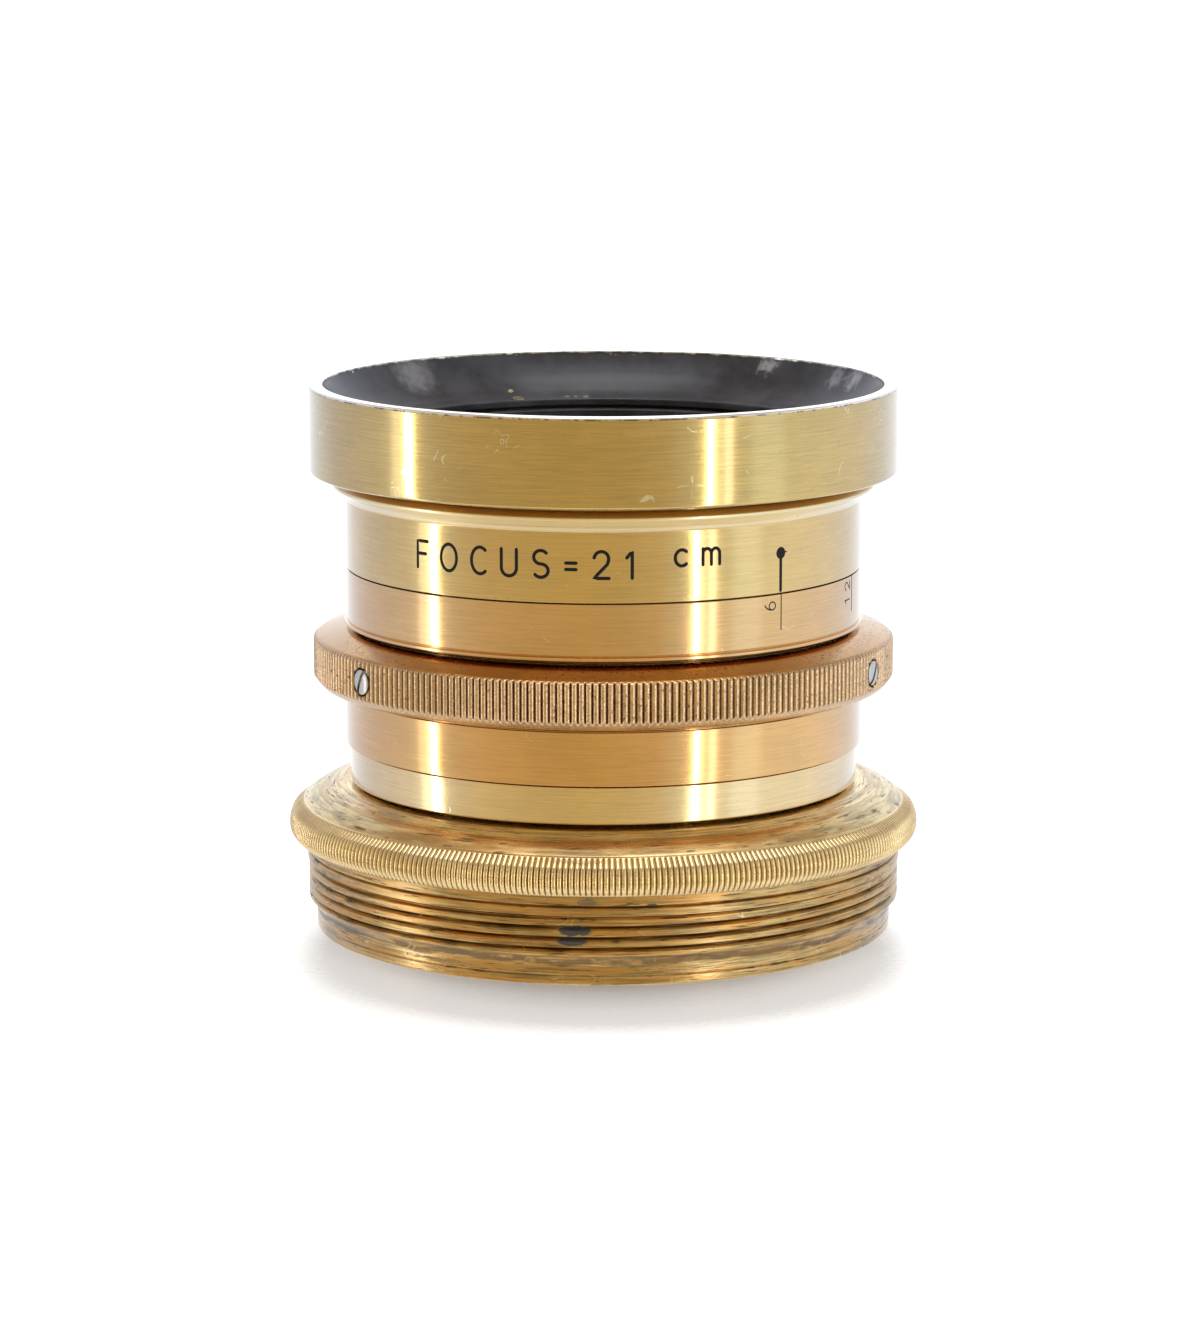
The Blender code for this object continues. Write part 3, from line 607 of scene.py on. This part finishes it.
def screwPiece(number, angle, tilt):
    # The head is a grid of columns across the slot and rows along it. Columns keep
    # y = b sqrt(R^2 - x^2), and a column inside the slot drops by the slot's depth.
    head, half = screws["head"], screws["slotHalf"]
    outer = np.sin(np.linspace(-pi / 2, pi / 2, 41)) * head
    walls = np.array([-half * 1.02, -half, half, half * 1.02])
    x = np.sort(np.concatenate([outer[np.abs(np.abs(outer) - half) > 0.03], walls]))
    b = np.sin(np.linspace(-pi / 2, pi / 2, 25))
    b = np.concatenate([b, [1.0], b[::-1], [-1.0]])
    top = np.concatenate([np.ones(25), [0.0], np.zeros(25), [0.0]])
    xGrid = np.repeat(x[None, :], len(b), axis=0)
    yGrid = b[:, None] * np.sqrt(np.maximum(head * head - xGrid ** 2, 0))
    reachShare = (xGrid ** 2 + yGrid ** 2) / head ** 2
    surface = gripRadius + screws["rise"] - 0.16 * reachShare ** 2
    surface = surface - np.where(np.abs(xGrid) < half * 1.01, screws["slotDepth"], 0.0)
    out = np.where(top[:, None] > 0.5, surface, gripRadius - grip["seatDepth"] - 0.05)
    turn = radians(tilt)
    side = xGrid * np.cos(turn) - yGrid * np.sin(turn)
    up = xGrid * np.sin(turn) + yGrid * np.cos(turn)
    a = radians(angle)
    points = np.stack([out * np.cos(a) - side * np.sin(a), out * np.sin(a) + side * np.cos(a),
                       screws["level"] + up], axis=-1)
    faces = gridFaces(len(b), len(x), closeRows=True, closeColumns=False)
    piece = makeMesh(f"screw_head_{number}", points.reshape(-1, 3) * mm, faces, screwSteel, 30.0,
                     merge=True)
    place(piece, "iris_ring", "screw_steel", f"grip_screw_{number}")


for count, angle in enumerate(screwAngles):
    screwPiece(count + 1, angle, screws["tilts"][count])
print("turning group ready")

bandLow, bandTop = heights("rear_band")
rearRadius = reach("rear_band")
rearOutline = roundedOutline([(21.15, bandTop + 0.05, 0.05), (rearRadius, bandTop + 0.05, 0.08),
                              (rearRadius, bandLow, 0.12), (rearRadius - 0.5, bandLow - 0.2, 0.1),
                              (21.15, bandLow - 0.2, 0.05)])
rearBand = turnedPiece("rear_band_shell", finerOutline(rearOutline, 0.8), paleBrass, 256)
place(rearBand, "lens_body", "pale_brass", "rear_band")

# The adapter: a knurled rim, a domed flange over it, and the threaded skirt it stands on.
adapter = {"toothDepth": 0.20, "knurlLow": 8.05, "knurlTop": 11.16, "pitch": 0.92, "threadTop": 5.98,
           "threadLow": 2.72, "crest": 26.0, "threadDepth": 0.40, "crestShare": 0.52, "skirt": 25.3}
adapterRadius = reach("adapter_ring")


def rampUp(value, low, high):
    share = np.clip((value - low) / (high - low), 0, 1)
    return share * share * (3 - 2 * share)


def rimShape(radius, height, angle):
    tooth = 1 - toothWave(angle, teeth["adapter"])
    inBand = rampUp(height, adapter["knurlLow"], adapter["knurlLow"] + 0.2) * (radius > 26.2)
    inBand = inBand * (1 - rampUp(height, adapter["knurlTop"] - 0.06, adapter["knurlTop"]))
    return radius - adapter["toothDepth"] * tooth * inBand, height


rimOutline = roundedOutline([
    (25.4, 11.34, 0.05), (26.38, 11.19, 0.08), (27.38, 10.42, 0.3), (adapterRadius, 9.5, 0.8),
    (27.62, 8.5, 0.6), (27.05, 7.95, 0.15), (25.4, 7.9, 0.05)])
rim = turnedPiece("adapter_knurled_rim", finerOutline(rimOutline, 0.14, 7.9, 11.25), agedRim,
                  teeth["adapter"] * teeth["samples"], rimShape, sharp=75.0)
place(rim, "lens_body", "aged_brass", "adapter_ring")


def threadShape(radius, height, angle):
    # A right-hand helix: phase = height / pitch - angle / 2 pi climbs one pitch each turn.
    # The crest is flat for a share of the pitch, then a straight V goes in and out.
    phase = np.mod(height / adapter["pitch"] - angle / (2 * pi), 1.0)
    flat = adapter["crestShare"]
    valley = 1 - np.abs(2 * (phase - flat) / (1 - flat) - 1)
    valley = np.where(phase < flat, 0.0, valley)
    ends = rampUp(height, adapter["threadLow"], adapter["threadLow"] + 0.2)
    ends = ends * (1 - rampUp(height, adapter["threadTop"] - 0.12, adapter["threadTop"])) * (radius > 25.0)
    return radius - adapter["threadDepth"] * valley * ends, height


threadOutline = roundedOutline([
    (24.0, 7.95, 0.05), (26.14, 7.95, 0.05), (26.14, 7.03, 0.08), (25.78, 6.9, 0.04), (26.1, 6.76, 0.08),
    (26.1, 6.12, 0.04), (25.86, 6.06, 0.03), (adapter["crest"], 5.99, 0.04),
    (adapter["crest"], adapter["threadLow"], 0.1), (25.5, 2.3, 0.3), (adapter["skirt"] + 0.04, 1.66, 0.1),
    (adapter["skirt"], 0.9, 0.04), (adapter["skirt"] - 0.09, 0.82, 0.03),
    (adapter["skirt"], 0.74, 0.04), (adapter["skirt"] - 0.03, 0.0, 0.16), (23.6, 0.0, 0.2),
    (23.5, 7.95, 0.05)])
threadOutline = finerOutline(threadOutline, 0.055, adapter["threadLow"] - 0.2, 6.0)
thread = turnedPiece("adapter_thread", threadOutline, agedBrass, 360, threadShape, sharp=26.0)
place(thread, "lens_body", "aged_brass", "adapter_ring")

flangeOutline = roundedOutline([
    (21.15, 12.82, 0.05), (23.1, 12.68, 0.5), (25.0, 12.12, 0.9), (26.3, 11.24, 0.12), (26.3, 7.95, 0.05),
    (23.45, 7.95, 0.05), (23.45, 8.8, 0.1), (21.15, 8.8, 0.1)])
flange = turnedPiece("adapter_flange", finerOutline(flangeOutline, 0.6), flangeBrass, 256)
place(flange, "lens_body", "aged_brass", "adapter_ring")
print("adapter ready")

# The cells, rings and glass inside.
innerRings = {
    # node: (inner radius, rounding)
    "front_retaining_ring": (17.3, 0.12), "front_spacer": (17.3, 0.1), "rear_spacer": (16.3, 0.1),
    "rear_retaining_ring": (16.3, 0.12), "iris_retaining_ring": (14.6, 0.1),
}
for node, (inner, rounding) in innerRings.items():
    low, high = heights(node)
    outer = reach(node)
    outline = roundedOutline([(inner, high, rounding), (outer, high, rounding), (outer, low, rounding),
                              (inner, low, rounding)])
    piece = turnedPiece(node + "_turned", finerOutline(outline, 0.6), blackPaint, 192)
    place(piece, "lens_body", "blackened_brass", node)

frontLow, frontTop = heights("front_cell")
frontCell = turnedPiece("front_cell_turned", finerOutline(roundedOutline([
    (18.6, frontTop, 0.15), (19.85, frontTop, 0.15), (19.85, frontLow, 0.2), (15.5, frontLow, 0.3),
    (15.5, frontLow + 1.5, 0.2), (18.6, frontLow + 1.5, 0.05)]), 0.6), blackPaint, 224)
place(frontCell, "lens_body", "blackened_brass", "front_cell")

rearLow, rearTop = heights("rear_cell")
rearCell = turnedPiece("rear_cell_turned", finerOutline(roundedOutline([
    (15.3, rearTop, 0.2), (19.0, rearTop, 0.2), (19.0, 8.2, 0.05), (20.5, 8.2, 0.1), (20.5, rearLow, 0.25),
    (17.8, rearLow, 0.15), (17.8, 15.4, 0.05), (15.3, 15.4, 0.2)]), 0.6), paleBrass, 224)
place(rearCell, "lens_body", "pale_brass", "rear_cell")

glasses = {
    # node: (top curve, bottom curve); a positive top bulges up, a negative bottom bulges down
    "front_outer_lens": (60.0, -90.0), "front_inner_lens": (-180.0, 180.0),
    "rear_inner_lens": (-180.0, 180.0), "rear_outer_lens": (90.0, -60.0),
}


def sag(radius, curve):
    # Depth of a ball's surface below its top: |c| - sqrt(c^2 - r^2), signed like the curve.
    return np.sign(curve) * (abs(curve) - np.sqrt(curve * curve - radius * radius))


for node, (topCurve, bottomCurve) in glasses.items():
    low, high = heights(node)
    outer = reach(node)
    r = np.linspace(0, outer, 20)
    vertexTop = high if topCurve > 0 else high + sag(outer, topCurve)
    vertexLow = low if bottomCurve < 0 else low + sag(outer, bottomCurve)
    upper = np.stack([r, vertexTop - sag(r, topCurve)], axis=1)
    under = np.stack([r, vertexLow - sag(r, bottomCurve)], axis=1)
    outline = np.concatenate([upper, under[::-1]])
    piece = turnedPiece(node + "_polished", outline, lensGlass, 160, sharp=40.0, poles=True)
    place(piece, "lens_body", "optical_glass", node)

for node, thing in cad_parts.items():
    if node.startswith("iris_blade"):
        thing.material_slots[0].material = bladeBlack
    if node in ("iris_base_plate", "iris_cam_ring"):
        thing.material_slots[0].material = blackPaint
print("glass and iris ready")


def strokeBar(points, width, height=0.03):
    # A rounded bar along a path in the (round, up) plane. Its section is an ellipse,
    # and its half width shrinks as sqrt(1 - k^2) over the last half width of each end.
    points = np.asarray(points, float)
    ahead = np.gradient(points, axis=0)
    ahead /= np.linalg.norm(ahead, axis=1)[:, None]
    k = np.sin(np.linspace(0, pi / 2, 5))
    startCap = points[0] - ahead[0] * (width * k[::-1])[:, None]
    endCap = points[-1] + ahead[-1] * (width * k)[:, None]
    path = np.concatenate([startCap, points[1:-1], endCap])
    along = np.concatenate([np.repeat(ahead[:1], 5, 0), ahead[1:-1], np.repeat(ahead[-1:], 5, 0)])
    swell = np.concatenate([np.sqrt(1 - k[::-1] ** 2), np.ones(len(points) - 2), np.sqrt(1 - k ** 2)])
    side = np.stack([-along[:, 1], along[:, 0]], axis=1)
    turn = np.arange(8) * (2 * pi / 8)
    wide = swell[:, None] * width * np.cos(turn)[None, :]
    flat = path[:, None, :] + side[:, None, :] * wide[..., None]
    out = np.repeat((np.sin(turn) * height)[None, :], len(path), axis=0) * np.maximum(swell, 0.3)[:, None]
    return np.concatenate([flat, out[..., None]], axis=-1)


def wrapOn(bars, radius, startAngle):
    # Bends flat bars (round, up, out) on a cylinder: angle = start + round / radius.
    points, faces, used = [], [], 0
    for bar in bars:
        rows, columns = bar.shape[:2]
        angle = radians(startAngle) + bar[..., 0] / radius
        out = radius + bar[..., 2]
        bent = np.stack([out * np.cos(angle), out * np.sin(angle), bar[..., 1]], axis=-1)
        points.append(bent.reshape(-1, 3))
        faces.append(gridFaces(rows, columns, closeRows=False) + used)
        used += rows * columns
    return np.concatenate(points) * mm, np.concatenate(faces)


def arcPath(centreX, centreY, radiusX, radiusY, start, end, steps=18):
    a = np.radians(np.linspace(start, end, steps))
    return np.stack([centreX + radiusX * np.cos(a), centreY + radiusY * np.sin(a)], axis=1)


def linePath(*spots):
    spots = np.array(spots, float)
    share = np.linspace(0, 1, 5)[:-1, None]
    parts = [first * (1 - share) + last * share for first, last in zip(spots[:-1], spots[1:])]
    return np.concatenate(parts + [spots[-1:]])


# A plain engraver's alphabet, one unit high, with the path of the tool for each stroke.
alphabet = {
    "F": [linePath((0, 0), (0, 1), (0.52, 1)), linePath((0, 0.53), (0.42, 0.53))],
    "O": [arcPath(0.36, 0.5, 0.36, 0.5, 90, 450, 33)],
    "C": [arcPath(0.36, 0.5, 0.36, 0.5, 52, 308, 27)],
    "U": [np.concatenate([linePath((0, 1), (0, 0.32)), arcPath(0.3, 0.3, 0.3, 0.3, 186, 354),
                          linePath((0.6, 0.32), (0.6, 1))])],
    "S": [np.concatenate([arcPath(0.28, 0.75, 0.27, 0.25, 40, 262, 20),
                          arcPath(0.28, 0.25, 0.28, 0.25, 82, -142, 20)])],
    "2": [np.concatenate([arcPath(0.28, 0.72, 0.27, 0.28, 170, -25, 16),
                          linePath((0.5, 0.52), (0, 0), (0.56, 0))])],
    "1": [linePath((0, 0.76), (0.2, 1), (0.2, 0))],
    "c": [arcPath(0.26, 0.7, 0.26, 0.3, 50, 310, 22)],
    "m": [linePath((0, 0.4), (0, 1.0))] + [
        np.concatenate([arcPath(x, 0.8, 0.17, 0.2, 180, 0, 12), linePath((x + 0.17, 0.78), (x + 0.17, 0.4))])
        for x in (0.17, 0.51)],
    "=": [linePath((0, 0.32), (0.38, 0.32)), linePath((0, 0.56), (0.38, 0.56))],
    "6": [arcPath(0.27, 0.28, 0.27, 0.28, 90, 450, 25), arcPath(0.56, 0.30, 0.56, 0.68, 180, 112, 12)],
    "4": [linePath((0.44, 0), (0.44, 1), (0, 0.3), (0.6, 0.3))],
    "8": [arcPath(0.27, 0.76, 0.22, 0.24, -90, 270, 25), arcPath(0.27, 0.26, 0.27, 0.26, 90, 450, 25)],
    "9": [arcPath(0.27, 0.72, 0.27, 0.28, -90, 270, 25), arcPath(-0.02, 0.70, 0.56, 0.68, 0, -68, 12)],
    " ": [],
}
letterWidth = {letter: max([stroke[:, 0].max() for stroke in strokes], default=0.3)
               for letter, strokes in alphabet.items()}


def wordBars(word, size, gap, tool, turned=False, depth=0.03):
    # Lays the strokes of a word side by side. A turned word reads upwards.
    bars, at = [], 0.0
    for letter in word:
        for stroke in alphabet[letter]:
            path = (stroke + (at, 0)) * size
            if turned:
                path = np.stack([-path[:, 1], path[:, 0]], axis=1)
            bars.append(strokeBar(path, tool, depth))
        at += letterWidth[letter] + gap
    return bars, (at - gap) * size


def shifted(bars, across, up):
    return [bar + np.array([across, up, 0.0]) for bar in bars]


legend = {"words": "FOCUS=21 cm", "size": 2.25, "gap": 0.66, "tool": 0.145, "start": -134.0, "level": 34.05}
bars, wordLength = wordBars(legend["words"], legend["size"], legend["gap"], legend["tool"])
points, faces = wrapOn(shifted(bars, 0.0, legend["level"]), bandRadius, legend["start"])
letters = makeMesh("engraved_legend", points, faces, letterInk, 60.0, merge=True)
place(letters, "lens_body", "barrel_brass")
print("legend ends at", round(legend["start"] + degrees(wordLength / bandRadius), 1), "degrees")

index = {"angle": -48.5, "dot": 35.32, "dotRadius": 0.43, "foot": 31.99, "tool": 0.16}
dotRadii = [index["dotRadius"] * share for share in (0.33, 0.67, 0.97)]
dotRows = [strokeBar(arcPath(0, index["dot"], r, r, 0, 360, 25), 0.1, 0.03) for r in dotRadii]
tick = strokeBar(linePath((0.3, index["dot"] + 0.02), (0.62, index["dot"] + 0.06)), 0.07)
needle = strokeBar(linePath((0, index["dot"]), (0, index["foot"] + index["tool"])), index["tool"])
points, faces = wrapOn([*dotRows, tick, needle], bandRadius, index["angle"])
mark = makeMesh("index_mark", points, faces, letterInk, 60.0, merge=True)
place(mark, "lens_body", "barrel_brass")

scale = {"numbers": (6, 12, 24, 48, 96), "top": 31.78, "foot": 28.8, "tool": 0.06, "size": 1.25,
         "gap": 0.7, "level": 31.25, "drop": 0.35, "back": 1.0, "swing": 13.65 / (2 * 18.3)}
travel = 78.8


def ringTurn(number):
    # The opening shrinks by sqrt(6 / number), and the ring turns with the blades' angle.
    def bladeTurn(n):
        return asin((1 - sqrt(scale["numbers"][0] / n)) * scale["swing"])
    return travel * bladeTurn(number) / bladeTurn(scale["numbers"][-1])


scaleBars = []
for number in scale["numbers"]:
    across = radians(ringTurn(number)) * bandRadius
    tickPath = linePath((across, scale["foot"]), (across, scale["top"]))
    scaleBars.append(strokeBar(tickPath, scale["tool"], 0.02))
    glyphs, length = wordBars(str(number), scale["size"], scale["gap"], scale["tool"],
                              turned=True, depth=0.02)
    level = scale["level"] - scale["drop"] * len(str(number))
    scaleBars += shifted(glyphs, across - scale["back"] + 0.35, level - length / 2)
points, faces = wrapOn(scaleBars, bandRadius, index["angle"] + 0.2)
figures = makeMesh("exposure_scale", points, faces, scaleInk, 60.0, merge=True)
place(figures, "iris_ring", "warm_brass")
print("engraving ready")

# The floor's painted shadow: its centre, and glow levels by distance in millimetres.
ground = {"shadowCentre": -14.0, "stops": ((11.0, 0.17), (15.0, 0.25), (20.0, 0.39), (24.0, 0.43),
                                           (27.0, 0.66), (32.0, 1.0))}


def floorFinish():
    # White paper that glows, so that it stays white far away. Its shadow is painted: the glow
    # is grey where the lens keeps the light off, in a round patch that reaches forward.
    finish = Finish("pale floor", Emission_Strength=1.0)
    cloud = finish.noise(finish.here, 30.0, 2.0)
    colour = finish.mix(cloud, (0.27, 0.267, 0.264), (0.29, 0.287, 0.284))
    forward = finish.y - ground["shadowCentre"] * mm
    away = finish.math("SQRT", finish.x * finish.x + forward * forward)
    away = away + (finish.noise(finish.here, 1500.0, 4.0, 0.7) - 0.5) * 0.004
    limit = ground["stops"][-1][0]
    stops = [(radius / limit, (level, level, level)) for radius, level in ground["stops"]]
    glow = finish.node("ShaderNodeValToRGB", {"stops": stops}, {"Fac": away / (limit * mm)})
    return finish.feed(Base_Color=colour, Roughness=0.4, Emission_Color=glow)


side = 3.0
floorPoints = np.array([(-side, -side, 0), (side, -side, 0), (side, side, 0), (-side, side, 0)])
floor = makeMesh("floor", floorPoints, np.array([[0, 1, 2, 3]]), floorFinish())
floor.visible_glossy = False

# The room is a function of direction: azimuth 0 is in front of the lens, positive to its
# right. The front is dim and warm, the back is bright, and narrow panels stand on the left
# and on the right.
room = {
    "stops": ((-180, (1.60, 1.60, 1.60)), (-174, (1.15, 1.16, 1.18)), (-165, (0.98, 1.02, 1.10)),
              (-152, (0.82, 0.86, 0.95)), (-140, (0.72, 0.74, 0.86)), (-128, (0.66, 0.67, 0.78)),
              (-112, (0.67, 0.67, 0.74)), (-98, (0.72, 0.71, 0.74)), (-88, (0.84, 0.86, 0.88)),
              (-72, (0.70, 0.68, 0.64)), (-66, (0.66, 0.60, 0.50)), (-52, (0.62, 0.52, 0.36)),
              (-35, (0.58, 0.48, 0.30)), (-10, (0.57, 0.46, 0.25)), (8, (0.59, 0.49, 0.29)),
              (24, (0.63, 0.54, 0.38)), (33, (0.70, 0.68, 0.60)), (38, (0.84, 0.84, 0.82)),
              (52, (0.86, 0.88, 0.84)), (57, (0.84, 0.85, 0.80)), (61, (0.99, 1.08, 1.16)),
              (72, (1.01, 1.10, 1.20)), (76, (0.89, 0.92, 0.94)), (105, (0.90, 0.92, 0.98)),
              (125, (0.85, 0.88, 1.00)), (140, (0.80, 0.86, 0.98)), (152, (0.88, 0.92, 1.02)),
              (165, (0.98, 1.02, 1.08)), (174, (1.15, 1.16, 1.18)), (180, (1.60, 1.60, 1.60))),
    "brightest": 1.6, "above": (0.50, 0.44, 0.38), "aboveFrom": 0.35, "aboveFull": 0.75,
    "below": (1.0, 0.98, 0.95), "belowFrom": -0.40, "belowFull": -0.75,
    # Each panel: azimuth, half width, soft edge, brightness. It fades out from panelTop
    # to panelEnd, which are heights on a unit ball.
    "panels": ((-86.0, 1.5, 4.0, 1.5), (-80.6, 1.7, 1.4, 5.5), (45.0, 2.5, 2.0, 1.2),
               (41.5, 1.25, 0.6, 6.0), (49.2, 1.2, 1.0, 2.3)),
    "panelTop": 0.12, "panelEnd": 0.34, "top": (3.0, 3.0, 3.1), "topFrom": 0.90, "topFull": 0.97,
}


def buildRoom():
    world = bpy.data.worlds.new("studio")
    bpy.context.scene.world = world
    world.use_nodes = True
    world.node_tree.nodes.clear()
    graph = Graph(world.node_tree)
    x, y, z = graph.split(graph.node("ShaderNodeTexCoord", output="Generated"))
    turn = graph.math("ARCTAN2", x, y * -1.0) / (2 * pi) + 0.5
    stops = [((azimuth + 180) / 360, shade(colour, 1 / room["brightest"]))
             for azimuth, colour in room["stops"]]
    walls = graph.node("ShaderNodeValToRGB", {"stops": stops}, {"Fac": turn})
    walls = graph.node("ShaderNodeVectorMath", {"operation": "SCALE"}, {0: walls, "Scale": room["brightest"]})
    low = 1.0 - graph.step(z, room["panelTop"], room["panelEnd"])
    for centre, half, soft, level in room["panels"]:
        panel = graph.band(turn * 360.0 - 180.0, centre, half, soft) * low
        walls = graph.mix(panel, walls, (level,) * 3)
    light = graph.mix(graph.step(z, room["aboveFrom"], room["aboveFull"]), walls, room["above"])
    light = graph.mix(graph.step(z, room["topFrom"], room["topFull"]), light, room["top"])
    light = graph.mix(graph.step(z * -1.0, -room["belowFrom"], -room["belowFull"]), light, room["below"])
    seen = graph.node("ShaderNodeLightPath", output="Is Camera Ray")
    light = graph.mix(seen, light, (1.0, 1.0, 1.0))
    glow = graph.node("ShaderNodeBackground", None, {"Color": light})
    output = world.node_tree.nodes.new("ShaderNodeOutputWorld")
    world.node_tree.links.new(glow.socket, output.inputs[0])


buildRoom()

# A wide lamp overhead whitens the floor. The brass doesn't mirror it.
overhead = {"size": 1.4, "height": 1.0, "power": 8.0}
lampData = bpy.data.lights.new("overhead", "AREA")
lampData.size = overhead["size"]
lampData.energy = overhead["power"]
lamp = bpy.data.objects.new("overhead", lampData)
lamp.location = (0.0, 0.0, overhead["height"])
lamp.visible_camera = False
lamp.visible_glossy = False
bpy.context.scene.collection.objects.link(lamp)
bpy.context.scene.view_settings.view_transform = "Standard"

view = {"distance": 420.3, "aim": 22.93, "pitch": 10.079, "side": -0.2903, "focal": 129.706,
        "sensor": 36.0}
cameraData = bpy.data.cameras.new("camera")
camera = bpy.data.objects.new("camera", cameraData)
bpy.context.scene.collection.objects.link(camera)
cameraData.sensor_width = view["sensor"]
cameraData.lens = view["focal"]
pitch = radians(view["pitch"])
camera.location = (view["side"] * mm, -view["distance"] * np.cos(pitch) * mm,
                   (view["aim"] + view["distance"] * np.sin(pitch)) * mm)
camera.rotation_euler = (pi / 2 - pitch, 0.0, 0.0)
bpy.context.scene.camera = camera
print("room and camera ready")
